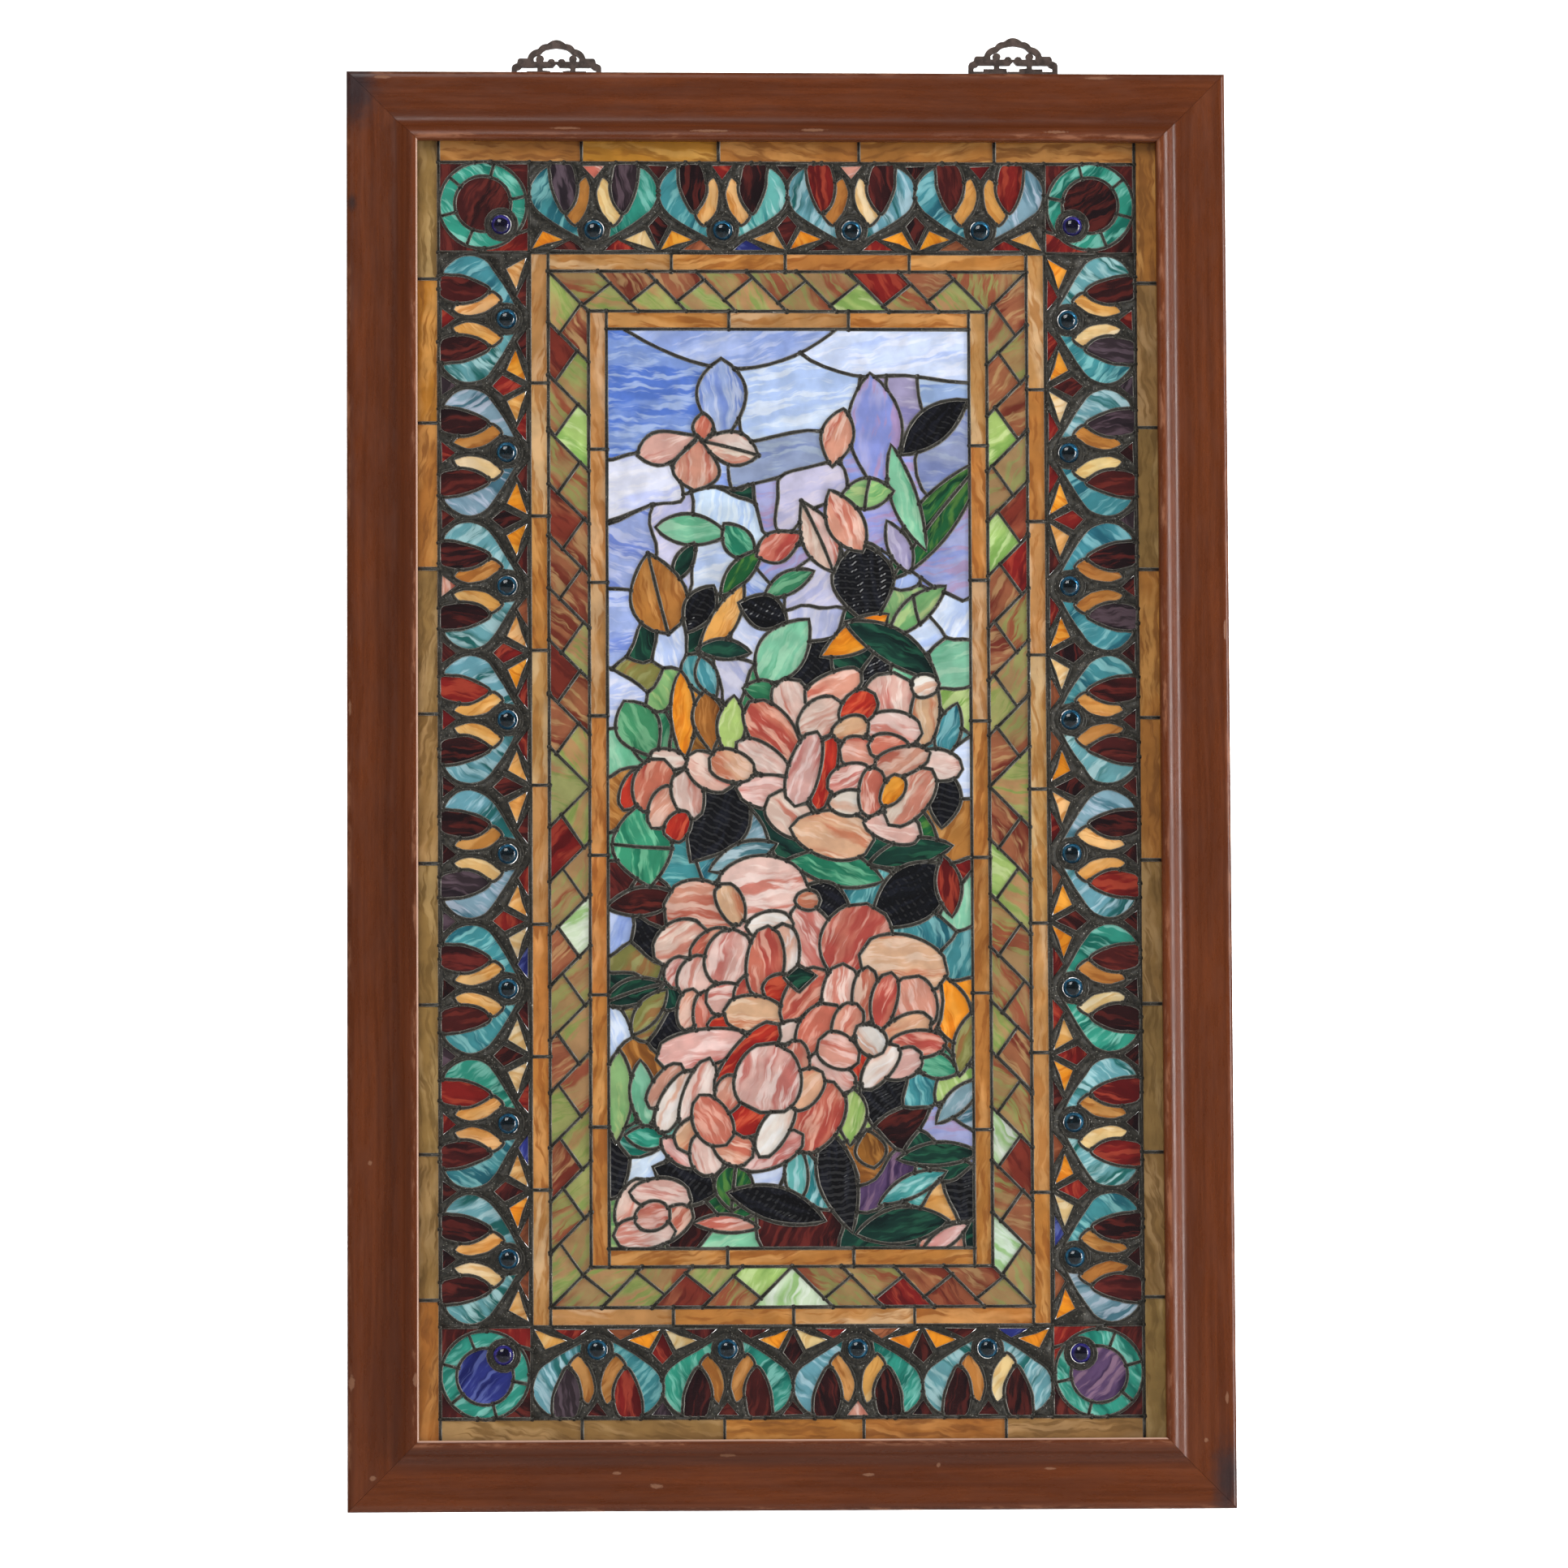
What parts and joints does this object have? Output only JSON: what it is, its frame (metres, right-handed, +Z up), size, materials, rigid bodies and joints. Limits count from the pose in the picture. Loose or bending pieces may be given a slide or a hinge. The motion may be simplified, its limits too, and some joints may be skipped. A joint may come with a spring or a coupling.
{
  "type": "stained glass window",
  "caption": "Framed leaded stained glass window with a flower picture in jewelled and chevron borders, made to hang from the top rail by cast fretwork hangers.",
  "frame": {"origin": "middle of the top rail's back face, in the wall plane", "axes": "+Z up, +Y into the wall, the glazed front faces -Y, +X to the right seen from the front"},
  "size_m": [0.675, 0.034, 1.131],
  "materials": {
    "wood": "reddish brown stained hardwood under satin lacquer, with small chips and a dark stain",
    "hanger": "cast brass, brown patina",
    "solder": "solder seams with a blackened patina, rubbed bright along some edges",
    "amber_glass": "streaky amber opalescent glass",
    "border_glass": "streaky teal, dark red and amber opalescent glass",
    "chevron_glass": "streaky olive and brown opalescent glass",
    "picture_glass": "streaky opalescent glass in many colours, some of it black and rippled",
    "jewel_teal": "clear pressed teal blue glass nugget",
    "jewel_purple": "clear pressed purple glass nugget"
  },
  "bodies": {
    "root": {"frame_top_rail": "wood", "frame_right_stile": "wood", "frame_bottom_rail": "wood", "frame_left_stile": "wood", "hanger_left": "hanger", "hanger_right": "hanger", "solder_lattice": "solder", "outer_strip_top": "amber_glass", "outer_strip_right": "amber_glass", "outer_strip_bottom": "amber_glass", "outer_strip_left": "amber_glass", "border_glass_top": "border_glass", "border_glass_right": "border_glass", "border_glass_bottom": "border_glass", "border_glass_left": "border_glass", "inner_strip_top": "amber_glass", "inner_strip_right": "amber_glass", "inner_strip_bottom": "amber_glass", "inner_strip_left": "amber_glass", "chevron_glass_top": "chevron_glass", "chevron_glass_right": "chevron_glass", "chevron_glass_bottom": "chevron_glass", "chevron_glass_left": "chevron_glass", "amber_strip_top": "amber_glass", "amber_strip_right": "amber_glass", "amber_strip_bottom": "amber_glass", "amber_strip_left": "amber_glass", "picture_glass": "picture_glass", "jewel_top_1": "jewel_teal", "jewel_top_2": "jewel_teal", "jewel_top_3": "jewel_teal", "jewel_top_4": "jewel_teal", "jewel_right_1": "jewel_teal", "jewel_right_2": "jewel_teal", "jewel_right_3": "jewel_teal", "jewel_right_4": "jewel_teal", "jewel_right_5": "jewel_teal", "jewel_right_6": "jewel_teal", "jewel_right_7": "jewel_teal", "jewel_right_8": "jewel_teal", "jewel_bottom_1": "jewel_teal", "jewel_bottom_2": "jewel_teal", "jewel_bottom_3": "jewel_teal", "jewel_bottom_4": "jewel_teal", "jewel_left_1": "jewel_teal", "jewel_left_2": "jewel_teal", "jewel_left_3": "jewel_teal", "jewel_left_4": "jewel_teal", "jewel_left_5": "jewel_teal", "jewel_left_6": "jewel_teal", "jewel_left_7": "jewel_teal", "jewel_left_8": "jewel_teal", "jewel_corner_top_left": "jewel_purple", "jewel_corner_top_right": "jewel_purple", "jewel_corner_bottom_left": "jewel_purple", "jewel_corner_bottom_right": "jewel_purple"}
  },
  "joints": []
}
